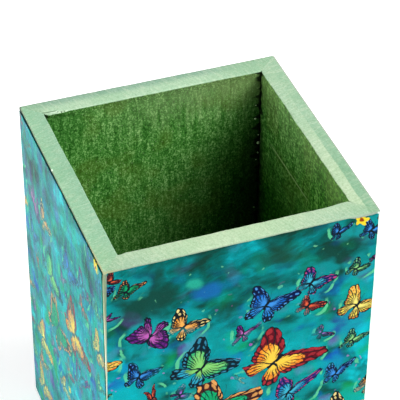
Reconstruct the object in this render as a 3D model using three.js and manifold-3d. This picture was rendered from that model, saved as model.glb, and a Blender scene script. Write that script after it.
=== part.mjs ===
// A square pen cup: four mitred boards glued round a grooved-in floor, with a
// sheet of printed paper on each outer face. Millimetres, +Z up, the front faces
// -Y, and the origin is the middle of the base.
import * as THREE from 'three';
import { mergeVertices } from 'three/addons/utils/BufferGeometryUtils.js';
import Module from 'manifold-3d';

// Driving dimensions.
const WIDTH = 78; // over the boards, left to right
const DEPTH = 78; // over the boards, front to back
const HEIGHT = 110;
const BOARD = 6.3; // thickness of the four wall boards
const FLOOR = 3; // thickness of the floor panel
const FLOOR_LIFT = 3; // underside of the floor panel above the table
const GROOVE = 2.5; // depth of the groove that holds the floor
const GROOVE_SLACK = 0.25; // room round the floor panel's edges
const GLUE = 0.1; // each mitred end is this far short of its neighbour's corner
const PAPER = 0.25; // one sheet with its glue and varnish
const PAPER_MARGIN = 0.75; // bare board left round each sheet
const CORNER_ROUND = 0.75; // radius of the four upright corners
const EDGE_ROUND = 0.5; // easing of the outer rim and foot
const MOUTH_CHAMFER = 0.5; // easing of the inner rim
const ROUND_STEPS = 3; // facets in each eased edge

const wasm = await Module();
wasm.setup();

function toManifold(geometry) {
  const bare = geometry.clone();
  bare.deleteAttribute('normal');
  bare.deleteAttribute('uv');
  const merged = mergeVertices(bare, 1e-4);
  return new wasm.Manifold(new wasm.Mesh({
    numProp: 3,
    vertProperties: new Float32Array(merged.attributes.position.array),
    triVerts: new Uint32Array(merged.index.array),
  }));
}

function toGeometry(manifold) {
  const mesh = manifold.getMesh();
  const geometry = new THREE.BufferGeometry();
  geometry.setAttribute('position', new THREE.BufferAttribute(mesh.vertProperties, 3));
  geometry.setIndex(new THREE.BufferAttribute(mesh.triVerts, 1));
  geometry.computeVertexNormals();
  return geometry;
}

// A box given by its lowest and highest corners.
function slab(low, high) {
  const size = high.map((value, axis) => value - low[axis]);
  const middle = high.map((value, axis) => (value + low[axis]) / 2);
  return new THREE.BoxGeometry(...size).translate(...middle);
}

// A rectangle about the origin, with rounded corners where a radius is given.
function rectangle(width, depth, radius) {
  const x = width / 2;
  const y = depth / 2;
  const shape = new THREE.Shape();
  const corners = [[x, y, 0], [-x, y, 1], [-x, -y, 2], [x, -y, 3]];
  if (radius === 0) {
    shape.setFromPoints(corners.map(([cx, cy]) => new THREE.Vector2(cx, cy)));
    return shape;
  }
  for (const [cx, cy, turn] of corners) {
    const start = turn * Math.PI / 2;
    const centreX = cx - Math.sign(cx) * radius;
    const centreY = cy - Math.sign(cy) * radius;
    shape.absarc(centreX, centreY, radius, start, start + Math.PI / 2, false);
  }
  return shape;
}

// The glued-up box after its edges are eased, still in one piece.
function carcass() {
  const outer = new THREE.ExtrudeGeometry(rectangle(WIDTH, DEPTH, CORNER_ROUND), {
    depth: HEIGHT - 2 * EDGE_ROUND,
    curveSegments: ROUND_STEPS,
    bevelThickness: EDGE_ROUND,
    bevelSize: EDGE_ROUND,
    bevelOffset: -EDGE_ROUND,
    bevelSegments: ROUND_STEPS,
  }).translate(0, 0, EDGE_ROUND);
  const innerWidth = WIDTH - 2 * BOARD;
  const innerDepth = DEPTH - 2 * BOARD;
  const cavity = slab(
    [-innerWidth / 2, -innerDepth / 2, -1],
    [innerWidth / 2, innerDepth / 2, HEIGHT + 1],
  );
  const mouth = new THREE.ExtrudeGeometry(rectangle(innerWidth, innerDepth, 0), {
    depth: 1,
    bevelThickness: MOUTH_CHAMFER,
    bevelSize: MOUTH_CHAMFER,
    bevelSegments: 1,
  }).translate(0, 0, HEIGHT);
  return toManifold(outer).subtract(toManifold(cavity)).subtract(toManifold(mouth));
}

// The floor panel's corners, grown all round by the given slack.
function floorCorners(slack) {
  const x = WIDTH / 2 - BOARD + GROOVE - GROOVE_SLACK + slack;
  const y = DEPTH / 2 - BOARD + GROOVE - GROOVE_SLACK + slack;
  return [[-x, -y, FLOOR_LIFT], [x, y, FLOOR_LIFT + FLOOR]];
}

// An upright wedge from the middle of the cup out past one side. It cuts that
// side's board out of the box, with a mitre at both ends. turns counts quarter
// turns from the front, anticlockwise seen from above.
function mitreWedge(turns) {
  const reach = Math.max(WIDTH, DEPTH) / 2 + 1;
  const angle = turns * Math.PI / 2;
  const centre = new THREE.Vector2();
  const corners = [[0, -GLUE], [-reach, -reach - GLUE], [reach, -reach - GLUE]];
  const outline = corners.map(([x, y]) => new THREE.Vector2(x, y).rotateAround(centre, angle));
  const wedge = new THREE.ExtrudeGeometry(new THREE.Shape(outline), {
    depth: HEIGHT + 2,
    bevelEnabled: false,
  });
  return wedge.translate(0, 0, -1);
}

// Each sheet lies against its board's outer face, inside a narrow bare margin.
function sheetBounds() {
  const x = WIDTH / 2;
  const y = DEPTH / 2;
  const across = x - PAPER_MARGIN;
  const along = y - PAPER_MARGIN;
  const foot = PAPER_MARGIN;
  const top = HEIGHT - PAPER_MARGIN;
  return {
    front_print: [[-across, -y - PAPER, foot], [across, -y, top]],
    back_print: [[-across, y, foot], [across, y + PAPER, top]],
    left_print: [[-x - PAPER, -along, foot], [-x, along, top]],
    right_print: [[x, -along, foot], [x + PAPER, along, top]],
  };
}

function named(name, geometry, look) {
  const mesh = new THREE.Mesh(geometry, new THREE.MeshStandardMaterial(look));
  mesh.name = name;
  return mesh;
}

const PAINTED = { color: 0x9fd0a8, roughness: 0.45, metalness: 0.1 };
const FLOOR_PAINT = { color: 0x23401b, roughness: 0.6, metalness: 0.0 };
const PRINTED = { color: 0x12808a, roughness: 0.25, metalness: 0.0 };

const cup = new THREE.Group();

const boards = new THREE.Group();
const box = carcass();
const groove = toManifold(slab(...floorCorners(GROOVE_SLACK)));
for (const [turns, name] of ['front_wall', 'right_wall', 'back_wall', 'left_wall'].entries()) {
  const board = box.intersect(toManifold(mitreWedge(turns))).subtract(groove);
  boards.add(named(name, toGeometry(board), PAINTED));
}
cup.add(boards);

cup.add(named('floor_panel', slab(...floorCorners(0)), FLOOR_PAINT));

const sheets = new THREE.Group();
for (const [name, bounds] of Object.entries(sheetBounds())) {
  sheets.add(named(name, slab(...bounds), PRINTED));
}
cup.add(sheets);

export default cup;
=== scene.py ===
"""A square pen cup of mitred painted boards, with butterfly paper varnished onto each outer face."""

import math
from types import SimpleNamespace

import bmesh
import bpy
from mathutils import Matrix, Vector, noise


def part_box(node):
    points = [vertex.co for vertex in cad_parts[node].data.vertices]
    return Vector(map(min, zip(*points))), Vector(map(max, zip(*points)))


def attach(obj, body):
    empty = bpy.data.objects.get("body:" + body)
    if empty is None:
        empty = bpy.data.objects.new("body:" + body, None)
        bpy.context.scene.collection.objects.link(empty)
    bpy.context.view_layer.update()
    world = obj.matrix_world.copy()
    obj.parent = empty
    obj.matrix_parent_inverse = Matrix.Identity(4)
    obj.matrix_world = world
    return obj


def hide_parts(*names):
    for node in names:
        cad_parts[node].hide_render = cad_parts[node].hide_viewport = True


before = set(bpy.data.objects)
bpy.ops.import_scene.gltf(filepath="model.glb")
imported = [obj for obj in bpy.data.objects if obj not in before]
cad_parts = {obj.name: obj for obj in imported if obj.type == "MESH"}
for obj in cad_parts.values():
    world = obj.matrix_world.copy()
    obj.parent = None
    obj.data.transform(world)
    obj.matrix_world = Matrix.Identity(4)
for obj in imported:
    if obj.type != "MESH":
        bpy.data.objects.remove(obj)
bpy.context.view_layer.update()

MM = 0.001
SIDES = ["front", "right", "back", "left"]  # quarter turns from the front, anticlockwise from above

# The boards, read from the frame and kept in millimetres.
wall_low, wall_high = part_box("front_wall")
floor_low, floor_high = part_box("floor_panel")
sheet_low, sheet_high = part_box("front_print")
HALF = -wall_low.y / MM  # half the cup's width over the boards
HEIGHT = wall_high.z / MM
BOARD = (wall_high.y - wall_low.y) / MM
FLOOR_UNDER = floor_low.z / MM
FLOOR_TOP = floor_high.z / MM
FLOOR_HALF = floor_high.x / MM
SHEET_THICK = (sheet_high.y - sheet_low.y) / MM
SHEET_HALF = sheet_high.x / MM
SHEET_FOOT = sheet_low.z / MM
SHEET_TOP = sheet_high.z / MM

# Edges and joints of the boards.
GROOVE_SLACK = 0.25  # room round the floor panel's edges
GROOVE_DEPTH = FLOOR_HALF - (HALF - BOARD) + GROOVE_SLACK
CORNER_ROUND = 0.5  # radius of the four upright corners
RIM_ROUND = 0.3  # easing of the outer rim
MOUTH_ROUND = 0.3  # easing of the inner rim
FOOT_ROUND = 0.5
JOINT_GAP = 0.015  # each mitred end stays this far from its neighbour
ALONG_STEPS = 132  # divisions along each board
SHARP_ANGLE = 50  # edges that turn more than this many degrees stay crisp

# How far each rim stands out over its sheet.
RIM_LIP = {"front": 0.0, "right": 0.2, "back": 0.2, "left": -0.2}

# Places on the rim, given along a board and in from its outer face.
SLIT_START, SLIT_END = 29.3, 34.0  # along the back board
BACK_DENT = (27.8, 6.0)
CORNER_PIT = (32.9, 6.3)
LEFT_NICK = (-7.6, 0.1)

# Drops of dried glue in the back right corner: along the back board, height and radius.
GLUE_BEADS = [
    (-31.3, 97.9, 0.22), (-31.2, 93.0, 0.32), (-32.3, 86.8, 0.2),
    (-32.3, 83.9, 0.5), (-32.3, 80.2, 0.3), (-31.8, 77.6, 0.2), (-31.5, 59.4, 0.3),
]

GLUE_MARK = BOARD + 2  # a depth past the board's own, which marks the beads for their paint


# ---- geometry

def smooth(low, high, value):
    """0 below low, 1 above high, and a soft step between."""
    t = min(max((value - low) / (high - low), 0), 1)
    return t * t * (3 - 2 * t)


def bump_at(along, across, centre, radius):
    """A soft round bump, 1 at its centre and 0 past its radius."""
    gap = math.hypot(along - centre[0], across - centre[1])
    return 1 - smooth(0, radius, gap)


def wander(place, scale, seed=0.0):
    """Smooth noise in -1 to 1 at a place in millimetres, with features about scale millimetres wide."""
    return noise.noise(Vector((place[0] / scale, place[1] / scale, place[2] / scale + seed)))


def round_corner(x, y):
    """Moves a point of the square plan onto one with rounded upright corners."""
    inner = HALF - CORNER_ROUND
    over_x = abs(x) - inner
    over_y = abs(y) - inner
    if over_x <= 0 or over_y <= 0:
        return x, y
    shrink = max(over_x, over_y) / math.hypot(over_x, over_y)
    return math.copysign(inner + over_x * shrink, x), math.copysign(inner + over_y * shrink, y)


def on_board(side, along, depth, height):
    """The place of a point given along a board, in from its outer face, and up."""
    turn = SIDES.index(side) * math.pi / 2
    out = HALF - depth
    x = along * math.cos(turn) + out * math.sin(turn)
    y = along * math.sin(turn) - out * math.cos(turn)
    x, y = round_corner(x, y)
    return Vector((x, y, height))


def arc(centre, radius, start, end, steps):
    """Points of an arc, with its angles in degrees."""
    angles = [math.radians(start + (end - start) * i / steps) for i in range(steps + 1)]
    return [(centre[0] + radius * math.cos(a), centre[1] + radius * math.sin(a)) for a in angles]


def spread(start, end, steps):
    """Even stops from start to end, without the two ends."""
    return [start + (end - start) * i / steps for i in range(1, steps)]


def board_profile():
    """The section as (depth, height): up the outer face, over the rim and down inside to the groove."""
    fine_foot = HEIGHT - 6  # the mesh is finer above this
    foot = arc((FOOT_ROUND, FOOT_ROUND), FOOT_ROUND, 270, 180, 4)
    outer = [(0, z) for z in spread(FOOT_ROUND, HEIGHT - RIM_ROUND, 24)]
    rim_edge = arc((RIM_ROUND, HEIGHT - RIM_ROUND), RIM_ROUND, 180, 90, 6)
    rim = [(d, HEIGHT) for d in spread(RIM_ROUND, BOARD - MOUTH_ROUND, 16)]
    mouth_edge = arc((BOARD - MOUTH_ROUND, HEIGHT - MOUTH_ROUND), MOUTH_ROUND, 90, 0, 5)
    near_top = [(BOARD, z) for z in spread(HEIGHT - MOUTH_ROUND, fine_foot, 10)]
    inside = [(BOARD, fine_foot)] + [(BOARD, z) for z in spread(fine_foot, FLOOR_TOP, 70)]
    back = BOARD - GROOVE_DEPTH
    groove = [(BOARD, FLOOR_TOP), (back, FLOOR_TOP), (back, FLOOR_UNDER), (BOARD, FLOOR_UNDER)]
    inner_foot = [(BOARD, 0.3), (BOARD - 0.3, 0)]
    outside = foot + outer + rim_edge + rim
    return outside + mouth_edge + near_top + inside + groove + inner_foot


def worn(side, along, depth, height):
    """Hand-made unevenness: a section point's (depth, height) after sanding, paint and small dents."""
    place = on_board(side, along, depth, height)
    top = smooth(HEIGHT - 1.2, HEIGHT - 0.2, height)
    if top > 0:
        height -= top * (0.06 + 0.06 * wander(place, 14) + 0.03 * wander(place, 3.2, 5))
        crown = (depth - BOARD / 2) / (BOARD / 2)
        height -= top * 0.08 * crown ** 4
        height -= top * 0.03 * abs(wander(place, 0.9, 9))
    inner_edge = smooth(BOARD - 1.0, BOARD - 0.1, depth) * smooth(HEIGHT - 3, HEIGHT - 0.6, height)
    depth -= inner_edge * (0.06 + 0.12 * wander(place, 6, 21) + 0.06 * wander(place, 1.3, 27))
    outer_edge = (1 - smooth(0.1, 1.0, depth)) * smooth(HEIGHT - 2, HEIGHT - 0.7, height)
    depth += outer_edge * (0.03 + 0.03 * wander(place, 6, 33))
    depth -= RIM_LIP[side] * (1 - smooth(0.2, 1.2, depth)) * smooth(HEIGHT - 0.75, HEIGHT - 0.4, height)
    if depth > BOARD - 0.2 and height < HEIGHT - 1:
        depth += 0.05 * wander((place[0] * 3, place[1] * 3, place[2] * 0.25), 4, 41)
    return marks(side, along, depth, height, top)


def slit_line(along):
    """The depth of the slit in the back board's rim. It works on numbers and on fields."""
    return 5.17 - (along - 31.65) * 0.09


def marks(side, along, depth, height, top):
    """The few dents, slits, worn edges and thick dabs of paint that make this cup its own."""
    if side == "right":
        facet = 1 - smooth(-5, 32, along)
        height -= top * 0.06 * facet * (1 - smooth(1.2, 3.1, depth))
    if side == "back":
        slit = smooth(SLIT_START, SLIT_START + 0.7, along) * (1 - smooth(SLIT_END - 0.6, SLIT_END, along))
        height -= top * 0.22 * slit * (1 - smooth(0.1, 0.42, abs(depth - slit_line(along))))
        dab = smooth(26.2, 28.0, along) * (1 - smooth(32.6, 33.4, along))
        edge = smooth(BOARD - 0.8, BOARD - 0.2, depth) * smooth(HEIGHT - 1.6, HEIGHT - 0.5, height)
        depth += 0.35 * dab * edge
        height -= top * 0.2 * bump_at(along, depth, BACK_DENT, 1.1)
        height -= top * 0.45 * bump_at(along, depth, CORNER_PIT, 0.5)
    if side == "left":
        height -= top * 0.3 * bump_at(along, depth, LEFT_NICK, 0.9)
        edge = smooth(BOARD - 1.2, BOARD - 0.1, depth) * smooth(HEIGHT - 5, HEIGHT - 0.4, height)
        depth -= edge * (0.32 + 0.22 * smooth(0, 30, -along))
    if side == "front":
        edge = smooth(BOARD - 0.8, BOARD - 0.1, depth) * smooth(HEIGHT - 2.5, HEIGHT - 0.6, height)
        notch = (1 - smooth(-31.6, -31.0, along)) * smooth(-33.4, -32.8, along)
        depth += edge * (0.55 * smooth(23, 33, along) ** 2 - 0.3 * notch)
    return depth, height


def new_piece(name, bm, node, material):
    """Makes a mesh object from bm that stands for a CAD node."""
    bmesh.ops.recalc_face_normals(bm, faces=bm.faces)
    bm.normal_update()
    for edge in bm.edges:
        edge.smooth = len(edge.link_faces) == 2 and edge.calc_face_angle() < math.radians(SHARP_ANGLE)
    mesh = bpy.data.meshes.new(name)
    bm.to_mesh(mesh)
    bm.free()
    mesh.materials.append(material)
    piece = bpy.data.objects.new(name, mesh)
    bpy.context.scene.collection.objects.link(piece)
    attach(piece, "root")
    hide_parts(node)


def close_up(bm, near, far):
    """Makes a thin solid of two grids of vertices: two smooth faces, and a flat strip round the edge."""
    rows = len(near) - 1
    columns = len(near[0]) - 1
    for grid in (near, far):
        for i in range(rows):
            for j in range(columns):
                corners = grid[i][j], grid[i][j + 1], grid[i + 1][j + 1], grid[i + 1][j]
                bm.faces.new(corners).smooth = True
    for i in range(rows):
        for j in (0, columns):
            bm.faces.new((near[i][j], near[i + 1][j], far[i + 1][j], far[i][j]))
    for j in range(columns):
        for i in (0, rows):
            bm.faces.new((near[i][j], near[i][j + 1], far[i][j + 1], far[i][j]))


def set_uv(bm, layer_name, coords):
    """Gives every face corner the pair of numbers kept for its vertex, in the order of the vertices."""
    layer = bm.loops.layers.uv.new(layer_name)
    bm.verts.index_update()
    for face in bm.faces:
        for loop in face.loops:
            loop[layer].uv = coords[loop.vert.index]


def add_bead(bm, coords, along, height, radius):
    """A drop of dried glue on the inside of the back board."""
    place = Matrix.Translation(on_board("back", along, BOARD, height) * MM)
    made = bmesh.ops.create_icosphere(bm, subdivisions=2, radius=radius * MM, matrix=place)
    for vertex in made["verts"]:
        coords.append((along, GLUE_MARK))
        for face in vertex.link_faces:
            face.smooth = True


def make_wall(side, material):
    """One board: its section swept along the side, with a mitre at each end."""
    bm = bmesh.new()
    section = board_profile()
    coords = []
    rings = []
    for step in range(ALONG_STEPS + 1):
        share = 2 * step / ALONG_STEPS - 1
        ring = []
        for depth, height in section:
            end = HALF - depth
            depth, height = worn(side, share * end, depth, height)
            along = share * (HALF - depth - JOINT_GAP)
            opened = 0.25 * smooth(BOARD - 0.4, BOARD, depth) * smooth(0.995, 1, abs(share))
            place = on_board(side, along - math.copysign(opened, share), depth, height)
            ring.append(bm.verts.new(place * MM))
            coords.append((along, depth))
        rings.append(ring)
    count = len(section)
    for first, second in zip(rings, rings[1:]):
        for i in range(count):
            j = (i + 1) % count
            bm.faces.new((first[i], second[i], second[j], first[j])).smooth = True
    bm.faces.new(rings[0])
    bm.faces.new(rings[-1])
    if side == "back":
        for along, height, radius in GLUE_BEADS:
            add_bead(bm, coords, along, height, radius)
    set_uv(bm, "board", coords)
    new_piece(f"{side}_board", bm, f"{side}_wall", material)


def make_floor(material):
    """The floor panel, let into the groove, with a slightly uneven face."""
    bm = bmesh.new()
    steps = 60
    stops = [FLOOR_HALF * (2 * i / steps - 1) for i in range(steps + 1)]
    coords = []

    def layer(height, ripple):
        rows = []
        for y in stops:
            row = []
            for x in stops:
                z = height + ripple * (wander((x, y, 0), 16, 3) - 1)
                row.append(bm.verts.new(Vector((x, y, z)) * MM))
                coords.append((x, y))
            rows.append(row)
        return rows

    close_up(bm, layer(FLOOR_TOP, 0.06), layer(FLOOR_UNDER, 0.0))
    set_uv(bm, "board", coords)
    new_piece("floor_board", bm, "floor_panel", material)


def sheet_edges(side, along, height):
    """How far the sheet is trimmed short at its top, foot, left and right edges, in millimetres."""
    ragged = 0.10 * wander((along, height, SIDES.index(side) * 7), 9)
    ragged += 0.05 * wander((along, height, 3), 1.8)
    top = 0.10 + ragged
    if side == "left":
        top += 0.4 * smooth(-10, 38, -along) - 0.25
    if side == "front":
        top -= 0.45
        top += 0.75 * smooth(29.5, 31.5, along) * (0.7 + 0.3 * wander((along, 0, 0), 1.6))
    left = right = foot = 0.12 + ragged
    low = 1 - smooth(66, 108, height)
    if side == "front":
        left += 0.3 * smooth(98, 107, height) - 0.12 - 0.45 * low
        right -= 0.25
    if side == "left":
        right -= 0.12 + 0.45 * low
    return top, foot, left, right


def make_sheet(side, material):
    """A printed sheet pasted onto a board, with its four edges cut by hand."""
    bm = bmesh.new()
    columns = 120
    rows = 130
    coords = []

    def layer(depth):
        grid = []
        for row in range(rows + 1):
            up = row / rows
            line = []
            for column in range(columns + 1):
                share = column / columns
                along = -SHEET_HALF + 2 * SHEET_HALF * share
                height = SHEET_FOOT + (SHEET_TOP - SHEET_FOOT) * up
                top, foot, left, right = sheet_edges(side, along, height)
                height += foot * (1 - up) ** 8 - top * up ** 8
                along += left * (1 - share) ** 8 - right * share ** 8
                swell = 0.035 * wander((along, height, SIDES.index(side) * 11), 13)
                lift = depth - (swell + 0.035 if depth < 0 else 0)
                place = on_board(side, along, max(lift, -SHEET_THICK), height)
                line.append(bm.verts.new(place * MM))
                coords.append((along + SHEET_HALF, height))
            grid.append(line)
        return grid

    close_up(bm, layer(-0.2), layer(0.0))
    set_uv(bm, "sheet", coords)
    new_piece(f"{side}_sheet", bm, f"{side}_print", material)


# ---- node trees

def rgb(red, green, blue):
    """A colour given as it looks on a screen, 0 to 255, as the linear values that shaders use."""
    def linear(value):
        value = value / 255
        return value / 12.92 if value <= 0.04045 else ((value + 0.055) / 1.055) ** 2.4
    return (linear(red), linear(green), linear(blue), 1.0)


def node_operator(operation, swapped=False):
    """An operator of fields that adds a Math node. If swapped, the field comes second."""
    def apply(field, other):
        values = (other, field) if swapped else (field, other)
        return field.graph.math(operation, *values)
    return apply


class Field:
    """One output in a node tree."""

    def __init__(self, graph, socket):
        self.graph = graph
        self.socket = socket

    def __abs__(self):
        return self.graph.math("ABSOLUTE", self)

    __add__ = __radd__ = node_operator("ADD")
    __mul__ = __rmul__ = node_operator("MULTIPLY")
    __sub__ = node_operator("SUBTRACT")
    __rsub__ = node_operator("SUBTRACT", swapped=True)
    __truediv__ = node_operator("DIVIDE")
    __lt__ = node_operator("LESS_THAN")
    __gt__ = node_operator("GREATER_THAN")


class Graph:
    """Adds nodes to one material. Inputs can be numbers, tuples or fields."""

    def __init__(self, name):
        self.material = bpy.data.materials.new(name)
        self.material.use_nodes = True
        self.tree = self.material.node_tree
        self.tree.nodes.clear()

    def add(self, kind, inputs, output=0, **settings):
        node = self.tree.nodes.new(kind)
        for key, value in settings.items():
            setattr(node, key, value)
        for key, value in inputs.items():
            self.feed(node.inputs[key], value)
        return Field(self, node.outputs[output])

    def feed(self, socket, value):
        if isinstance(value, Field):
            self.tree.links.new(value.socket, socket)
        else:
            socket.default_value = value

    def math(self, operation, *values):
        return self.add("ShaderNodeMath", dict(enumerate(values)), operation=operation)

    def vector(self, operation, *values, output=0):
        return self.add("ShaderNodeVectorMath", dict(enumerate(values)), output, operation=operation)

    def scale(self, vector, factor):
        return self.add("ShaderNodeVectorMath", {0: vector, 3: factor}, operation="SCALE")

    def turn(self, vector, angle):
        """Turns a vector about Z, by an angle in radians."""
        values = {"Vector": vector, "Angle": angle}
        return self.add("ShaderNodeVectorRotate", values, rotation_type="Z_AXIS")

    def lowest(self, first, *others):
        for other in others:
            first = self.math("MINIMUM", first, other)
        return first

    def highest(self, first, *others):
        for other in others:
            first = self.math("MAXIMUM", first, other)
        return first

    def split(self, vector):
        node = self.tree.nodes.new("ShaderNodeSeparateXYZ")
        self.feed(node.inputs[0], vector)
        return [Field(self, output) for output in node.outputs]

    def join(self, x, y, z=0.0):
        return self.add("ShaderNodeCombineXYZ", {0: x, 1: y, 2: z})

    def mix(self, factor, first, second, blend="MIX"):
        """Mixes two colours."""
        values = {0: factor, 6: first, 7: second}
        return self.add("ShaderNodeMix", values, 2, data_type="RGBA", blend_type=blend)

    def pick(self, factor, first, second):
        """Mixes two vectors."""
        return self.add("ShaderNodeMix", {0: factor, 4: first, 5: second}, 1, data_type="VECTOR")

    def step(self, value, low, high, start=0.0, end=1.0):
        """start below low, end above high, and a soft step between."""
        values = {0: value, 1: low, 2: high, 3: start, 4: end}
        return self.add("ShaderNodeMapRange", values, interpolation_type="SMOOTHSTEP")

    def noise(self, where, scale, detail, roughness, output=0, distortion=0.0):
        """Noise at a scale, or at three scales for a stretched one."""
        if isinstance(scale, tuple):
            where, scale = self.vector("MULTIPLY", where, scale), 1.0
        values = {"Vector": where, "Scale": scale, "Detail": detail, "Roughness": roughness}
        values["Distortion"] = distortion
        return self.add("ShaderNodeTexNoise", values, output)

    def cells(self, where, scale):
        """The distance to the nearest of many scattered points."""
        return self.add("ShaderNodeTexVoronoi", {"Vector": where, "Scale": scale}, "Distance")

    def curve(self, value, points):
        """A smooth curve through the points, all in 0 to 1."""
        node = self.tree.nodes.new("ShaderNodeFloatCurve")
        line = node.mapping.curves[0]
        line.points[0].location = points[0]
        line.points[1].location = points[-1]
        for point in points[1:-1]:
            line.points.new(*point)
        node.mapping.update()
        self.feed(node.inputs["Value"], value)
        return Field(self, node.outputs[0])

    def ramp(self, value, stops):
        """A colour for each value, blended between the stops."""
        node = self.tree.nodes.new("ShaderNodeValToRGB")
        ramp = node.color_ramp
        ramp.elements[0].position, ramp.elements[0].color = stops[0]
        ramp.elements[1].position, ramp.elements[1].color = stops[-1]
        for position, colour in stops[1:-1]:
            ramp.elements.new(position).color = colour
        self.feed(node.inputs[0], value)
        return Field(self, node.outputs[0])

    def uv(self, name):
        return self.add("ShaderNodeUVMap", {}, uv_map=name)

    def here(self):
        """The point's place in the frame, in millimetres."""
        place = self.add("ShaderNodeTexCoord", {}, "Object")
        return self.scale(place, 1 / MM)

    def bump(self, height, distance, strength):
        values = {"Height": height, "Distance": distance * MM, "Strength": strength}
        return self.add("ShaderNodeBump", values)

    def finish(self, **values):
        """Ends the tree in one Principled shader. Underscores in the names stand for spaces."""
        shader = self.tree.nodes.new("ShaderNodeBsdfPrincipled")
        for name, value in values.items():
            self.feed(shader.inputs[name.replace("_", " ")], value)
        out = self.tree.nodes.new("ShaderNodeOutputMaterial")
        self.tree.links.new(shader.outputs[0], out.inputs[0])
        return self.material


# ---- the butterfly print

# One side of a butterfly, laid flat: the angle from straight out, and the reach in wing lengths.
FOREWING = [
    (-32, 0.0), (-27, 0.32), (-14, 0.46), (4, 0.53), (20, 0.67), (31, 0.84),
    (39, 0.98), (44, 1.0), (50, 0.88), (60, 0.60), (74, 0.36), (84, 0.24), (88, 0.0),
]
HINDWING = [
    (-84, 0.0), (-78, 0.34), (-68, 0.54), (-56, 0.63),
    (-44, 0.60), (-34, 0.50), (-25, 0.34), (-18, 0.0),
]
VEINS = 16  # veins in a half turn
OUTLINE = 0.17  # half the width of the drawn outline, in millimetres
VEIN = 0.08  # half the width of a vein
SHEET_REPEAT = (77.0, 112.0)  # the printed design repeats after this much

# The print as new, and as it is on the left, where it has been brushed over and is paler, with weaker
# contrast: painted reflection haze.
FRESH = SimpleNamespace(
    ink=rgb(14, 30, 38),
    tone=(0.68, 0.68, 0.68, 1),  # how much of the print's light comes back through the varnish
    darkening=0.39,  # of the whole ground
    murk=0.8,  # strength of the dark clouds
    bright=0.9,  # strength of the bright patches
    upper_tints=0.12,  # strength of the blue, green and violet patches at the top
    violet=(0.58, 0.72),  # where in their noise the violet patches start, and are full
    shake=0.45,  # unsteadiness of the drawing, in millimetres
    cover=1.0,  # how solidly the butterflies are printed
)
# Paler ink, a brighter ground and weaker contrast: painted reflection haze on the left.
REFLECTION_HAZE = SimpleNamespace(
    ink=rgb(46, 104, 112),
    tone=(0.54, 0.58, 0.53, 1),
    darkening=0.27,
    murk=0.15,
    bright=0.5,
    upper_tints=0.3,
    violet=(0.52, 0.66),
    shake=0.9,
    cover=0.9,
)
GLOW = rgb(10, 168, 172)
CRESCENT = rgb(96, 206, 150)

# How a butterfly is seen: its width, how far its wings sweep back, how far it leans, and its spots' size.
POSES = {
    "open": (1.0, 0.0, 0.18, 0.55),
    "bold": (0.95, 0.0, 0.2, 1.1),
    "banked": (0.72, -0.1, 0.34, 0.55),
    "soaring": (1.0, 0.55, -0.1, 0.4),
    "folded": (0.42, -0.2, 0.2, 0.4),
}

# Each tint is the colour by the body, across the wing, along its margin, of the hindwing, and of its spots.
TINTS = {
    "flame": ((252, 206, 72), (240, 132, 40), (96, 16, 30), (238, 140, 44), (164, 44, 52)),
    "leaf": ((132, 208, 112), (52, 174, 116), (8, 40, 52), (44, 160, 190), (50, 130, 160)),
    "jade": ((16, 160, 100), (20, 172, 116), (70, 30, 30), (14, 150, 104), (226, 160, 90)),
    "azure": ((60, 142, 222), (24, 100, 194), (12, 26, 80), (40, 132, 210), (76, 150, 214)),
    "sky": ((60, 176, 204), (24, 128, 186), (50, 44, 120), (44, 160, 200), (180, 66, 120)),
    "plum": ((190, 96, 180), (146, 58, 156), (76, 26, 100), (160, 66, 160), (120, 44, 140)),
    "amber": ((250, 176, 84), (236, 150, 52), (36, 32, 30), (244, 190, 96), (236, 214, 140)),
    "lemon": ((252, 234, 120), (250, 222, 84), (238, 196, 84), (250, 222, 90), (206, 92, 48)),
    "coral": ((232, 96, 62), (206, 50, 44), (104, 18, 30), (214, 64, 44), (226, 100, 66)),
    "mint": ((146, 216, 134), (60, 178, 122), (14, 66, 72), (60, 172, 178), (130, 204, 146)),
    "violet": ((166, 96, 204), (108, 58, 176), (34, 28, 100), (130, 76, 196), (196, 84, 160)),
}

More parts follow.
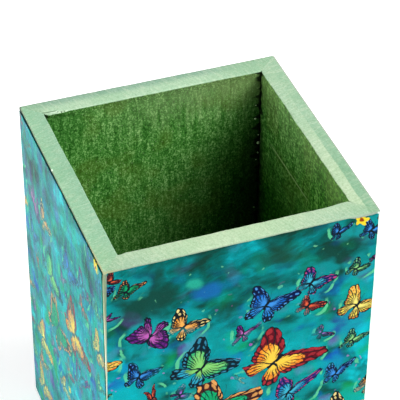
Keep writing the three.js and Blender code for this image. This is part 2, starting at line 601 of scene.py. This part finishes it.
# Centre across and up the sheet, turn in degrees, wing length (all in millimetres), pose and tint.
NEAR = [
    (50, 66, -50, 15.0, "bold", "flame"),
    (28, 70, -54, 12.5, "open", "leaf"),
    (32.5, 54.5, -40, 15.0, "bold", "jade"),
    (46, 87, -34, 9.5, "open", "azure"),
    (73, 79, -48, 8.5, "open", "lemon"),
    (11, 83, 158, 8.5, "soaring", "plum"),
    (53.5, 52.5, -30, 10.0, "banked", "sky"),
    (15, 34, -58, 9.5, "open", "lemon"),
    (50, 28, -38, 12.0, "open", "azure"),
    (33, 15, -46, 11.0, "bold", "flame"),
    (68, 11, -20, 9.5, "soaring", "plum"),
    (70, 40, -44, 9.0, "open", "amber"),
    (12, 13, -36, 9.0, "open", "lemon"),
]
FAR = [
    (59, 91, -42, 7.0, "open", "sky"),
    (72, 92, -50, 5.5, "banked", "mint"),
    (22, 86, -46, 7.5, "open", "amber"),
    (58, 82.5, -46, 5.5, "open", "coral"),
    (39, 78, -28, 6.0, "banked", "plum"),
    (72, 66, -46, 6.0, "banked", "mint"),
    (6, 103, -40, 5.5, "banked", "jade"),
    (1.5, 107.5, -60, 3.6, "open", "coral"),
    (9, 72, -34, 6.5, "open", "azure"),
    (12, 63, 10, 5.0, "folded", "coral"),
    (67, 55, -26, 7.0, "banked", "azure"),
    (38, 61, -128, 3.6, "folded", "lemon"),
    (62, 71, -60, 4.0, "open", "violet"),
    (21, 61, -70, 4.2, "open", "violet"),
    (75, 32, -42, 6.5, "open", "coral"),
    (36, 33, -60, 7.0, "banked", "lemon"),
    (26, 41, -38, 6.0, "open", "plum"),
    (62, 15, -40, 7.0, "open", "leaf"),
    (12, 23, -44, 7.0, "banked", "amber"),
    (22, 4, -24, 6.5, "banked", "sky"),
    (42, 45, -50, 5.5, "open", "coral"),
    (53, 10, -46, 6.0, "open", "jade"),
    (75.5, 104.5, -36, 5.5, "open", "azure"),
    (65.5, 106.5, -30, 4.5, "banked", "azure"),
    (1, 47, -50, 6.5, "banked", "amber"),
    (3, 20, -50, 6.0, "open", "mint"),
    (0, 94, -70, 4.5, "folded", "plum"),
]
FLOWERS = [(71.8, 108.4, 2.1), (41, 36.5, 1.4), (60, 4, 1.8)]  # centre and size

# Large soft washes in the ground: centre, half widths across and up, colour and strength.
WASHES = [
    (49, 102, 10, 6, rgb(22, 62, 40), 0.85),
    (61, 93, 8, 9, rgb(14, 74, 64), 0.6),
    (11, 97, 12, 6, rgb(16, 76, 66), 0.6),
    (28.5, 95.5, 6, 4, rgb(24, 104, 176), 0.8),
    (24, 99.5, 3, 2.6, rgb(40, 176, 150), 0.8),
    (69, 72, 8, 6, rgb(40, 96, 180), 0.6),
    (4, 64, 9, 10, rgb(10, 190, 200), 0.7),
]


def wing_reach(graph, angle, outline):
    """The wing's reach at each angle, in wing lengths. Angles are in half turns from straight out."""
    longest = 1.2  # the curve's full height stands for this reach
    points = [((degrees + 90) / 180, reach / longest) for degrees, reach in outline]
    points = [(0.0, 0.0)] + points + [(1.0, 0.0)]
    return graph.curve(angle + 0.5, points) * longest


def draw_wing(graph, radius, angle, size, outline, tints, spot_size, grain):
    """One wing. Returns its colour and its edge distance in millimetres, which is above 0 inside."""
    inner, middle, margin, spot = tints
    foot, top = outline[0][0] / 180, outline[-1][0] / 180
    reach = wing_reach(graph, angle, outline)
    phase = graph.math("FRACT", angle * VEINS + 10)
    off_middle = abs(phase - 0.5)
    scallop = reach * (1.02 - off_middle * off_middle * 0.2)
    share = radius / graph.highest(scallop, 0.02)
    to_rim = (scallop - radius) * size
    to_top = (top - angle) * math.pi * radius * size
    to_foot = (angle - foot) * math.pi * radius * size
    edge = graph.lowest(to_rim, to_top, to_foot)

    panel = graph.math("FLOOR", angle * VEINS + 10)
    chance = graph.add("ShaderNodeTexWhiteNoise", {"W": panel + size * 3.0}, noise_dimensions="1D") - 0.5
    rough = grain * 0.5 + chance * 0.2
    colour = graph.mix(graph.step(share + rough, 0.36, 0.66), inner, middle)
    tip = graph.step(angle, 0.12, 0.25) * 0.2
    into = share + grain * 0.15 + tip
    colour = graph.mix(graph.step(into, 0.72, 0.78), colour, margin)
    across = graph.math("POWER", off_middle * 3.0, 2.0) + chance * 0.5 + grain * 0.8
    for row, weight in ((0.89, 11), (0.72, 15)):
        spot_gap = graph.math("POWER", (share - row) * weight, 2.0) + across
        shown = graph.step(spot_gap / spot_size, 0.6, 1.2, 1.0, 0.0)
        if row < 0.8:
            shown = shown * graph.step(tip, 0.1, 0.16, 0.0, 0.8)
        colour = graph.mix(shown, colour, spot)

    vein_gap = (0.5 - off_middle) * radius * size * (math.pi / VEINS)
    vein = graph.step(vein_gap, VEIN, VEIN * 3.0, 0.95, 0.0) * graph.step(share, 0.2, 0.5)
    cell = graph.step(abs(share - 0.52 - off_middle * 0.16) * size, VEIN, VEIN * 2.8, 0.8, 0.0)
    band = graph.step(abs(into - 0.75) * size, VEIN, VEIN * 3.0, 0.85, 0.0)
    colour = graph.mix(graph.highest(vein, cell, band), colour, graph.ink)
    drawn_edge = graph.step(edge + grain * 0.4, OUTLINE * 1.4, OUTLINE * 3.2, 1.0, 0.0)
    return graph.mix(drawn_edge, colour, graph.ink), edge


def draw_butterfly(graph, where, size, lean, shape, tints, grain):
    """A butterfly about its middle, in wing lengths, its body along Y. Returns its colour and cover."""
    inner, middle, margin, hind, spot = tints
    width, sweep, spot_size = graph.split(shape)
    x, y, _ = graph.split(where)
    y = y + 0.2
    across = x / width
    out = abs(across)
    up = y + out * sweep - across * lean
    radius = graph.math("SQRT", out * out + up * up)
    angle = graph.math("ARCTAN2", up, out) / math.pi

    hind_tints = (inner, hind, graph.mix(0.5, margin, graph.ink), spot)
    fore_tints = (inner, middle, margin, spot)
    hind_colour, hind_edge = draw_wing(graph, radius, angle, size, HINDWING, hind_tints, spot_size, grain)
    fore_colour, fore_edge = draw_wing(graph, radius, angle, size, FOREWING, fore_tints, spot_size, grain)
    colour = graph.mix(graph.step(fore_edge, -OUTLINE, 0.0), hind_colour, fore_colour)
    edge = graph.highest(fore_edge, hind_edge)

    along_body = graph.highest(abs(y - 0.04) - 0.17, 0.0)
    body = 0.022 - graph.math("SQRT", x * x + along_body * along_body)
    reach = y - 0.2
    feeler = abs(abs(x) - reach * 0.4 - reach * reach * 0.3)
    feeler = feeler + graph.step(abs(y - 0.38), 0.17, 0.2) * 0.2
    solid = graph.step(body * size, -0.16, 0.0)
    cover = graph.highest(
        graph.step(edge, -OUTLINE, -OUTLINE * 0.2),
        solid,
        graph.step(feeler * size, 0.04, 0.12, 0.5, 0.0),
    )
    dark = graph.highest(graph.step(edge, 0.0, 0.05, 1.0, 0.0), solid)
    return graph.mix(dark, colour, graph.ink), cover


def nearest(graph, where, butterflies):
    """At each point, the butterfly that is nearest for its size: the gap, its frame, pose and tints."""
    span = SHEET_REPEAT[0] / 2, SHEET_REPEAT[1] / 2
    best = None
    for x, y, turn, size, pose, tint in butterflies:
        width, sweep, lean, spot_size = POSES[pose]
        own_tints = [rgb(*colour) for colour in TINTS[tint]]
        offset = graph.vector("SUBTRACT", where, (x, y, 0))
        offset = graph.vector("WRAP", offset, (span[0], span[1], 1), (-span[0], -span[1], -1))
        offset = graph.scale(offset, 1 / size)
        gap = graph.vector("LENGTH", offset, output=1)
        facts = (math.radians(turn), size, lean)
        shape = (width, sweep, spot_size)
        if best is None:
            best = gap, offset, facts, shape, own_tints
            continue
        closer = gap < best[0]
        tints = [graph.mix(closer, old, new) for old, new in zip(best[4], own_tints)]
        best = (
            graph.lowest(gap, best[0]),
            graph.pick(closer, best[1], offset),
            graph.pick(closer, best[2], facts),
            graph.pick(closer, best[3], shape),
            tints,
        )
    gap, offset, facts, shape, tints = best
    turn, size, lean = graph.split(facts)
    return gap, graph.turn(offset, 0 - turn), size, lean, shape, tints


def draw_washes(graph, where, colour, wash):
    """Large soft patches of colour with wandering edges."""
    for x, y, half_width, half_height, tint, strength in WASHES:
        offset = graph.vector("SUBTRACT", where, (x, y, 0))
        offset = graph.vector("MULTIPLY", offset, (1 / half_width, 1 / half_height, 0))
        away = graph.vector("LENGTH", offset, output=1) + (wash - 0.5) * 1.6
        colour = graph.mix(graph.step(away, 0.35, 1.05, strength, 0.0), colour, tint)
    return colour


def print_ground(graph, where, look):
    """The painted ground: teal washes that rise to the right, darker above and brighter below."""
    up = graph.split(where)[1]
    tilted = graph.turn(where, math.radians(-14))
    wash = graph.noise(tilted, (0.05, 0.085, 1), 3, 0.55, distortion=0.5)
    strokes = graph.noise(tilted, (0.2, 0.6, 1), 4, 0.65, distortion=0.6)
    lower = graph.step(up, 100, 66)
    tone = wash * 1.3 + strokes * 0.4 - look.darkening + lower * 0.065
    colour = graph.ramp(tone, [
        (0.34, rgb(14, 62, 52)),
        (0.44, rgb(5, 86, 78)),
        (0.53, rgb(2, 106, 103)),
        (0.61, rgb(2, 124, 126)),
        (0.70, rgb(5, 150, 158)),
        (0.82, rgb(10, 198, 208)),
    ])
    murk, _, bright = graph.split(graph.noise(where, 0.055, 3, 0.55, output=1, distortion=0.8))
    colour = graph.mix(graph.step(murk, 0.53, 0.67, 0.0, look.murk), colour, rgb(16, 66, 54))
    colour = graph.mix(graph.step(bright, 0.52, 0.64, 0.0, look.bright) * lower, colour, rgb(6, 204, 216))
    blue, green, violet = graph.split(graph.noise(where, 0.11, 1, 0.5, output=1))
    tints = graph.step(up, 110, 56, look.upper_tints, 1.0)
    colour = graph.mix(graph.step(blue, 0.54, 0.68, 0.0, 0.9) * tints, colour, rgb(20, 88, 180))
    colour = graph.mix(graph.step(green, 0.54, 0.68, 0.0, 0.9) * tints, colour, rgb(14, 160, 96))
    colour = graph.mix(graph.step(violet, *look.violet, 0.0, 0.7) * tints, colour, rgb(110, 72, 172))
    if look is FRESH:
        colour = draw_washes(graph, where, colour, wash)
    dab, petals, _ = graph.split(graph.noise(where, 0.42, 1, 0.5, output=1))
    colour = graph.mix(graph.step(dab, 0.72, 0.77, 0.0, 0.55), colour, rgb(120, 214, 160))
    return graph.mix(graph.step(petals, 0.73, 0.76, 0.0, 0.8) * lower, colour, rgb(176, 84, 190))


def draw_flowers(graph, where, colour):
    """Small yellow flowers of five petals."""
    for x, y, size in FLOWERS:
        across, up, _ = graph.split(graph.vector("SUBTRACT", where, (x, y, 0)))
        radius = graph.math("SQRT", across * across + up * up) / size
        petal = graph.math("COSINE", graph.math("ARCTAN2", up, across) * 5.0) * 0.22 + 0.78
        flower = graph.mix(graph.step(radius, 0.18, 0.34), rgb(150, 60, 24), rgb(244, 214, 50))
        colour = graph.mix(graph.step(radius - petal, -0.1, 0.08, 1.0, 0.0), colour, flower)
    return colour


def draw_flock(graph, where, colour, flock, grain, smear, cover_strength):
    """Butterflies over the ground, each with a soft glow round it and crescents beside its wings."""
    gap, place, size, lean, shape, tints = nearest(graph, where, flock)
    drawn, cover = draw_butterfly(graph, place, size, lean, shape, tints, grain)
    colour = graph.mix(graph.step(gap + smear * 2.2, 0.5, 1.2, 0.55, 0.0), colour, GLOW)
    sideways, forwards, _ = graph.split(place)
    behind = (sideways * -0.7 - forwards * 0.7) / gap
    ahead = (sideways * 0.95 + forwards * 0.3) / gap
    ring = abs(gap - 0.8 - ahead * 0.12) * size - graph.highest(behind, ahead) * 0.3
    crescent = graph.step(graph.highest(behind, ahead), 0.72, 0.92) * graph.step(smear, -0.05, 0.05)
    colour = graph.mix(graph.step(ring, 0.0, 0.3, 0.8, 0.0) * crescent, colour, CRESCENT)
    return graph.mix(cover * cover_strength, colour, drawn)


def wobble(graph, sheet, scale, detail, reach):
    """A vector noise that pushes points about by up to half of reach, in millimetres."""
    noise_vector = graph.noise(sheet, scale, detail, 0.5, output=1)
    return graph.scale(graph.vector("SUBTRACT", noise_vector, (0.5, 0.5, 0.5)), reach)


def print_material(name, look):
    """Paper printed with butterflies over a teal ground, under a satin varnish."""
    graph = Graph(name)
    graph.ink = look.ink
    sheet = graph.uv("sheet")
    where = graph.vector("ADD", sheet, wobble(graph, sheet, 0.25, 1, 2.0))
    where = graph.vector("ADD", where, wobble(graph, sheet, 1.3, 2, look.shake))
    where = graph.vector("MULTIPLY", where, (1, 1, 0))
    if look is REFLECTION_HAZE:
        smeared = graph.noise(sheet, (0.9, 0.08, 0), 2, 0.6) - 0.5
        where = graph.vector("ADD", where, graph.join(0.0, smeared * 4.2))
    colour = print_ground(graph, where, look)
    grain = graph.noise(sheet, (1.1, 1.1, 0), 3, 0.6) - 0.5
    smear = graph.noise(sheet, (0.12, 0.2, 0), 2, 0.5) - 0.5
    for flock in (FAR, NEAR):
        colour = draw_flock(graph, where, colour, flock, grain, smear, look.cover)
    colour = draw_flowers(graph, where, colour)
    if look is REFLECTION_HAZE:
        brush = graph.noise(sheet, (0.7, 0.06, 0), 3, 0.7)
        colour = graph.mix(graph.step(brush, 0.5, 0.62, 0.0, 0.5), colour, rgb(16, 162, 142))
        colour = graph.mix(graph.step(brush, 0.38, 0.5, 0.4, 0.0), colour, rgb(60, 84, 146))
    fine = graph.noise(sheet, (2.2, 3.2, 0), 3, 0.75)
    colour = graph.mix(graph.step(fine, 0.3, 0.7, 0.5, 0.0), colour, (0.5, 0.55, 0.55, 1), "MULTIPLY")
    varnish = graph.noise(sheet, (2.2, 0.35, 0), 3, 0.6)
    return graph.finish(
        Base_Color=graph.mix(1.0, colour, look.tone, "MULTIPLY"),
        Roughness=graph.step(varnish, 0.3, 0.7, 0.26, 0.4),
        IOR=1.07,
        Normal=graph.bump(varnish * 0.7 + fine * 0.3, 0.02, 0.6),
    )


# ---- paints

# Rim colour of each board, part paint and part painted sheen from how each part of the rim tilts: along its
# outer part, along its inner part, where they meet, and how softly.
RIM_TONES_AND_SHEEN = {
    "front": (rgb(150, 178, 150), rgb(156, 182, 152), 3.2, 2.5),
    "right": (rgb(126, 164, 134), rgb(168, 190, 158), 3.2, 0.15),
    "back": (rgb(128, 162, 140), rgb(160, 190, 160), 2.6, 1.6),
    "left": (rgb(136, 178, 146), rgb(136, 176, 147), 3.2, 2.5),
}
MINT = rgb(118, 158, 126)
CREAM = rgb(176, 198, 162)
BLEND = rgb(136, 172, 140)
SHADE = rgb(112, 130, 114)
WORN_EDGE = rgb(156, 156, 112)
GLUE = rgb(186, 212, 168)
PALE_TOP = {"front": 0.3, "right": 0.22, "back": 0.36, "left": 0.3}  # how worn the paint is inside the mouth

# Paint on the outer face, where it shows round the sheet.
OUTER_PAINT = {
    "front": rgb(140, 154, 142),
    "right": rgb(142, 160, 148),
    "back": rgb(120, 150, 110),
    # On the left it is near black: painted shade in the gap under the sheet's lifted top edge.
    "left": rgb(14, 48, 36),
}


def rim_marks(graph, side, along, depth, rim):
    """Paint over the dents in the rim: dark in the slit, pale where it is lifted or chipped, and painted
    shade in the pits, along the left rim's outer edge and at the back left corner.
    """
    def spot(x, y, radius):
        across, into = along - x, depth - y
        gap = graph.math("SQRT", across * across + into * into)
        return graph.step(gap, radius * 0.5, radius * 1.2, 0.85, 0.0)

    def line(start, end, middle, half_width, strength):
        ends = graph.step(along, start, start + 0.6) * graph.step(along, end - 0.6, end, 1.0, 0.0)
        return ends * graph.step(abs(depth - middle), half_width * 0.5, half_width * 1.4, strength, 0.0)

    if side == "back":
        rim = graph.mix(line(28.9, 31.8, 5.8, 0.33, 0.65), rim, rgb(206, 228, 204))
        rim = graph.mix(line(26.0, 29.6, 6.3, 0.3, 0.5), rim, rgb(200, 222, 190))
        rim = graph.mix(line(SLIT_START, SLIT_END, slit_line(along), 0.18, 0.85), rim, rgb(84, 110, 82))
        # Painted shade in the pits of the dent and of the corner.
        for x, y, radius in ((29.3, 6.05, 0.24), (28.3, 6.3, 0.3), (27.4, 6.2, 0.26), (32.9, 6.2, 0.25)):
            rim = graph.mix(spot(x, y, radius), rim, rgb(46, 70, 44))
        # Painted shade at the back left corner.
        rim = graph.mix(graph.step(along, 38.2, 38.8, 0.0, 0.8), rim, rgb(60, 80, 64))
    if side == "left":
        # Painted shade along the left rim's outer edge.
        rim = graph.mix(graph.step(depth, 0.16, 0.6, 0.9, 0.0), rim, rgb(92, 104, 80))
        rim = graph.mix(spot(-7.6, 0.2, 0.45), rim, rgb(220, 236, 214))
        # Painted shade at the back left corner.
        rim = graph.mix(graph.step(along, -38.8, -38.2, 0.75, 0.0), rim, rgb(60, 80, 64))
        worn_edge = graph.step(depth, 0.3, 0.7, 0.6, 0.0) * graph.step(along, 20, 36)
        rim = graph.mix(worn_edge, rim, WORN_EDGE)
    if side == "right":
        rim = graph.mix(graph.step(depth, 0.1, 0.5, 0.6, 0.0), rim, rgb(166, 166, 156))
    if side == "front":
        worn_edge = graph.step(depth, 0.3, 0.8, 0.6, 0.0) * graph.step(along, -38, -33, 1.0, 0.0)
        rim = graph.mix(worn_edge, rim, WORN_EDGE)
    return rim


def scratch(graph, along, height):
    """A long thin scratch across the inside of the right board."""
    level = abs(height - 89.5 + (along - 8) * 0.011)
    line = graph.step(level, 0.14, 0.4, 0.8, 0.0)
    return line * graph.step(along, -8, 0) * graph.step(along, 21, 25, 1.0, 0.0)


def rim_paint_and_sheen(graph, side, along, depth, place, drift, speckle, streaks):
    """Green paint on the rim, which blends from tone to tone and is speckled by the brush. The tones from
    board to board, and from the outer to the inner part, are partly painted sheen.
    """
    outer, inner, middle, blur = RIM_TONES_AND_SHEEN[side]
    rim = graph.mix(graph.step(depth + (drift - 0.5) * 0.8, middle - blur, middle + blur), outer, inner)
    # Partly painted sheen: the tones shift along and across each rim.
    if side == "right":
        rim = graph.mix(graph.step(along, -30, 24, 0.0, 0.85), rim, rgb(150, 180, 152))
    if side == "front":
        rim = graph.mix(graph.step(abs(along + 3), 8, 30, 0.6, 0.0), rim, CREAM)
        rim = graph.mix(graph.step(along, -38, -30, 0.5, 0.0), rim, BLEND)
        rim = graph.mix(graph.step(along, 35.7, 36.2, 0.0, 0.85), rim, MINT)
    if side == "left":
        rim = graph.mix(graph.step(along, 22, 38, 0.0, 0.7), rim, rgb(150, 182, 148))
    if side == "back":
        ends = graph.highest(graph.step(along, 29, 38), graph.step(along, -30, -14, 1.0, 0.0))
        rim = graph.mix(ends * 0.8, rim, BLEND)
    rim = graph.mix(graph.step(streaks, 0.46, 0.62, 0.0, 1.0), rim, (0.11, 0.1, 0.07, 1), "SCREEN")
    grit = graph.noise(place, 2.3, 2, 0.6)
    rim = graph.mix(graph.step(grit, 0.4, 0.6, 0.9, 0.0), rim, (0.84, 0.86, 0.82, 1), "MULTIPLY")
    rim = graph.mix(graph.step(drift, 0.45, 0.7, 0.0, 0.8), rim, (0.86, 0.93, 0.88, 1), "MULTIPLY")
    rim = graph.mix(graph.step(speckle, 0.50, 0.72, 0.0, 0.9), rim, (0.76, 0.78, 0.74, 1), "MULTIPLY")
    flecks = graph.cells(place, 0.16)
    rim = graph.mix(graph.step(flecks, 0.025, 0.05, 0.8, 0.0), rim, rgb(70, 92, 66))
    rim = graph.mix(graph.step(depth, 0.12, 0.42, 0.6, 0.0), rim, SHADE)
    return rim_marks(graph, side, along, depth, rim)


def inside_paint(graph, side, along, place, height):
    """Dark green brushed over the inside, with painted shade in the back right corner and in the pit at the
    back left corner. Returns its colour and the relief of the brushing.
    """
    seed = SIDES.index(side) * 5.3
    across = along * 0.5 if side in ("left", "right") else along
    fibre = graph.noise(graph.join(across, height * 0.12, seed), 1.0, 2, 0.6)
    thread = graph.noise(graph.join(across * 2.1, height * 1.15, seed), 1.0, 3, 0.7)
    weft = graph.noise(graph.join(across * 2.0, height * 2.8, seed), 1.0, 2, 0.7)
    patch = graph.noise(place, 0.06, 2, 0.5)
    inside = graph.ramp(fibre * 0.2 + thread * 0.5 + weft * 0.3, [
        (0.37, rgb(14, 60, 8)),
        (0.455, rgb(46, 104, 32)),
        (0.53, rgb(76, 138, 58)),
        (0.62, rgb(152, 200, 122)),
    ])
    inside = graph.mix(graph.step(patch, 0.48, 0.62, 0.0, 0.28), inside, rgb(92, 104, 30))
    # Pale flecks: painted glints of the paint's sheen.
    glint_flecks = graph.cells(graph.join(across * 1.2, height * 0.55, seed), 1.0)
    inside = graph.mix(graph.step(glint_flecks, 0.07, 0.17, 0.6, 0.0), inside, rgb(164, 196, 140))
    worn_top = graph.step(height + (fibre - 0.5) * 22, HEIGHT - 19, HEIGHT - 1, 0.0, PALE_TOP[side])
    if side == "back":
        worn_top = worn_top * graph.step(along, -12, 24, 1.0, 0.1)
    if side == "right":
        inside = graph.mix(graph.step(thread, 0.4, 0.58, 0.75, 0.0), inside, (0.5, 0.6, 0.3, 1), "MULTIPLY")
        inside = graph.mix(graph.step(thread, 0.5, 0.66, 0.0, 0.3), inside, rgb(128, 168, 104))
        inside = graph.mix(graph.step(along, -28, 14, 1.0, 0.2), inside, (0.7, 0.97, 0.42, 1), "MULTIPLY")
    inside = graph.mix(worn_top, inside, rgb(134, 150, 108))
    ragged_top = graph.step(height + (thread - 0.5) * 9, HEIGHT - 3.2, HEIGHT - 1.4)
    inside = graph.mix(ragged_top * graph.step(weft, 0.42, 0.6, 0.5, 0.0), inside, rgb(40, 62, 24))
    # Painted shade: darker towards the back right corner, over a band that widens deeper down.
    if side in ("right", "back"):
        corner = HALF - BOARD - along if side == "right" else HALF - BOARD + along
        sunk = HEIGHT - height
        shade_widening = 0.29 if side == "back" else 0.12
        painted_corner_shade = graph.step(corner / (sunk * shade_widening + 1.0), 0.0, 1.0, 0.8, 0.0) * graph.step(sunk, 6, 27)
        inside = graph.mix(painted_corner_shade, inside, rgb(6, 18, 6))
        # A ragged near-black band down the corner: painted shadow.
        band_wobble = graph.noise(graph.join(0.0, height * 0.5, seed), 1.0, 1, 0.5) - 0.44
        bare = graph.step(corner - band_wobble * 8.0, -0.4, 0.9, 0.92, 0.0)
        inside = graph.mix(bare, inside, rgb(5, 13, 4))
    if side == "back":
        # Painted shade in the corner pit.
        pit = graph.step(along, 32.4, 32.7) * graph.step(height, HEIGHT - 1.8, HEIGHT - 1.0)
        inside = graph.mix(pit * 0.8, inside, rgb(14, 28, 10))
        shaded = graph.step(along, 16, 30) * graph.step(height, HEIGHT - 22, HEIGHT - 6)
        inside = graph.mix(shaded * 0.9, inside, (0.66, 0.78, 0.7, 1), "MULTIPLY")
    if side == "right":
        inside = graph.mix(scratch(graph, along, height), inside, rgb(150, 180, 120))
    return inside, fibre + thread * 1.5


def outer_paint(graph, side, along, height, streaks):
    """The outer face: a painted line above the sheet, and bare board at the upright corners, with painted
    shade on the back left corner and a painted highlight on the front right one.
    """
    corner_tone = graph.mix(graph.step(height, 76, 104), rgb(186, 190, 164), rgb(110, 124, 96))
    corner_tone = graph.mix(graph.step(streaks, 0.45, 0.6, 0.0, 0.4), corner_tone, rgb(96, 140, 112))
    # Painted shade on the back left corner.
    if side in ("left", "back"):
        back_left_shade = graph.step(along * (-1 if side == "left" else 1), 0, 1, 0.0, 0.9)
        corner_tone = graph.mix(back_left_shade, corner_tone, rgb(20, 40, 32))
    # Painted highlight on the front right corner.
    if side in ("front", "right"):
        right_corner_highlight = graph.step(along * (1 if side == "front" else -1), 0, 1)
        corner_tone = graph.mix(right_corner_highlight, corner_tone, rgb(196, 214, 200))
    near_corner = graph.step(HALF - abs(along), 0.6, 1.1, 1.0, 0.0)
    return graph.mix(near_corner, OUTER_PAINT[side], corner_tone)


def board_material(side):
    """A painted board: mint on the rim, dark green inside, and bare beige at the upright corners."""
    graph = Graph(f"{side}_board_paint")
    along, depth, _ = graph.split(graph.uv("board"))
    place = graph.here()
    height = graph.split(place)[2]
    drift = graph.noise(place, 0.12, 2, 0.5)
    speckle = graph.noise(place, 1.3, 3, 0.75)
    slanted = graph.join(along * 1.5 + depth * 0.6, depth * 0.3, SIDES.index(side) * 3.7)
    streaks = graph.noise(slanted, 1.0, 3, 0.7)
    rim = rim_paint_and_sheen(graph, side, along, depth, place, drift, speckle, streaks)
    inside, brushed = inside_paint(graph, side, along, place, height)

    ragged = (speckle - 0.5) * 0.5 + (drift - 0.5) * 0.6
    into = graph.step(height + ragged, HEIGHT - 0.55, HEIGHT - 0.25, 1.0, 0.0) * (depth > BOARD - 0.9)
    down = graph.step(height + ragged * 0.5, HEIGHT - 0.75, HEIGHT - 0.35, 1.0, 0.0) * (depth < 0.5)
    colour = graph.mix(into, rim, inside)
    colour = graph.mix(down, colour, outer_paint(graph, side, along, height, streaks))
    colour = graph.mix(depth > GLUE_MARK - 1, colour, GLUE)
    relief = graph.mix(into, graph.join(speckle + streaks, 0, 0), graph.join(brushed, 0, 0))
    return graph.finish(
        Base_Color=colour,
        Roughness=graph.step(speckle, 0.3, 0.7, 0.42, 0.58),
        IOR=1.28,
        Normal=graph.bump(relief, 0.05, 0.7),
    )


def floor_material():
    """Brushed dark green paint on the floor panel."""
    graph = Graph("floor_paint")
    place = graph.here()
    brushed = graph.noise(place, (0.12, 1.6, 1), 4, 0.65)
    colour = graph.ramp(brushed, [
        (0.35, rgb(28, 58, 20)),
        (0.5, rgb(44, 82, 34)),
        (0.68, rgb(70, 108, 54)),
    ])
    return graph.finish(
        Base_Color=colour,
        Roughness=graph.step(brushed, 0.3, 0.7, 0.5, 0.65),
        Normal=graph.bump(brushed, 0.05, 0.7),
    )


# ---- stage, light and camera

def make_stage():
    """A plain pale floor under an even white sky."""
    bm = bmesh.new()
    bmesh.ops.create_grid(bm, x_segments=1, y_segments=1, size=6)
    mesh = bpy.data.meshes.new("studio_floor")
    bm.to_mesh(mesh)
    bm.free()
    graph = Graph("studio_floor")
    mesh.materials.append(graph.finish(
        Base_Color=(0.9, 0.9, 0.9, 1),
        Roughness=0.9,
        Emission_Color=(1, 1, 1, 1),
        Emission_Strength=0.5,
    ))
    floor = bpy.data.objects.new("studio_floor", mesh)
    bpy.context.scene.collection.objects.link(floor)

    world = bpy.data.worlds.new("white_sky")
    world.use_nodes = True
    tree = world.node_tree
    sky = tree.nodes["Background"]
    direction = tree.nodes.new("ShaderNodeTexCoord")
    parts = tree.nodes.new("ShaderNodeSeparateXYZ")
    fade = tree.nodes.new("ShaderNodeMapRange")
    fade.interpolation_type = "SMOOTHSTEP"
    for end, value in (("From Min", 0.15), ("From Max", 0.62), ("To Min", 1.15), ("To Max", 0.05)):
        fade.inputs[end].default_value = value
    tree.links.new(direction.outputs["Generated"], parts.inputs[0])
    tree.links.new(parts.outputs["Z"], fade.inputs["Value"])
    tree.links.new(fade.outputs[0], sky.inputs["Strength"])
    sky.inputs["Color"].default_value = (1, 1, 1, 1)
    bpy.context.scene.world = world
    bpy.context.scene.view_settings.view_transform = "Standard"


def add_light(name, toward, distance, size, power):
    """A square soft light on the given side of the cup, facing it."""
    data = bpy.data.lights.new(name, "AREA")
    data.size = size
    data.energy = power
    light = bpy.data.objects.new(name, data)
    toward = Vector(toward).normalized()
    light.location = toward * distance + Vector((0, 0, HEIGHT * MM))
    light.rotation_mode = "QUATERNION"
    light.rotation_quaternion = (-toward).to_track_quat("-Z", "Y")
    bpy.context.scene.collection.objects.link(light)


def make_camera(azimuth, elevation, roll, target, distance, lens):
    """A camera round the cup: azimuth 0 looks along +Y. Angles are in degrees, lengths in millimetres."""
    azimuth, elevation, roll = (math.radians(angle) for angle in (azimuth, elevation, roll))
    flat = math.cos(elevation)
    back = Vector((math.sin(azimuth) * flat, -math.cos(azimuth) * flat, math.sin(elevation)))
    level = Vector((math.cos(azimuth), math.sin(azimuth), 0))
    upright = back.cross(level)
    right = math.cos(roll) * level + math.sin(roll) * upright
    up = math.cos(roll) * upright - math.sin(roll) * level
    data = bpy.data.cameras.new("camera")
    data.lens = lens
    data.sensor_width = 36
    camera = bpy.data.objects.new("camera", data)
    camera.matrix_world = Matrix((right, up, back)).transposed().to_4x4()
    camera.location = (Vector(target) + back * distance) * MM
    bpy.context.scene.collection.objects.link(camera)
    bpy.context.scene.camera = camera


make_camera(
    azimuth=-20.22,
    elevation=38.27,
    roll=0.43,
    target=(6.33, 12.19, 84.02),
    distance=589.1,
    lens=183.25,
)
make_stage()
add_light("key", toward=(0.8, -0.6, 1.0), distance=1.3, size=0.8, power=31)
add_light("fill", toward=(-1.0, 0.05, 0.3), distance=1.3, size=0.6, power=9)
add_light("side", toward=(-1.0, 0.0, 0.0), distance=1.3, size=0.2, power=18)

printed = print_material("butterfly_print", FRESH)
hazed = print_material("reflection_haze_print", REFLECTION_HAZE)
for name in SIDES:
    make_wall(name, board_material(name))
    make_sheet(name, hazed if name == "left" else printed)
make_floor(floor_material())
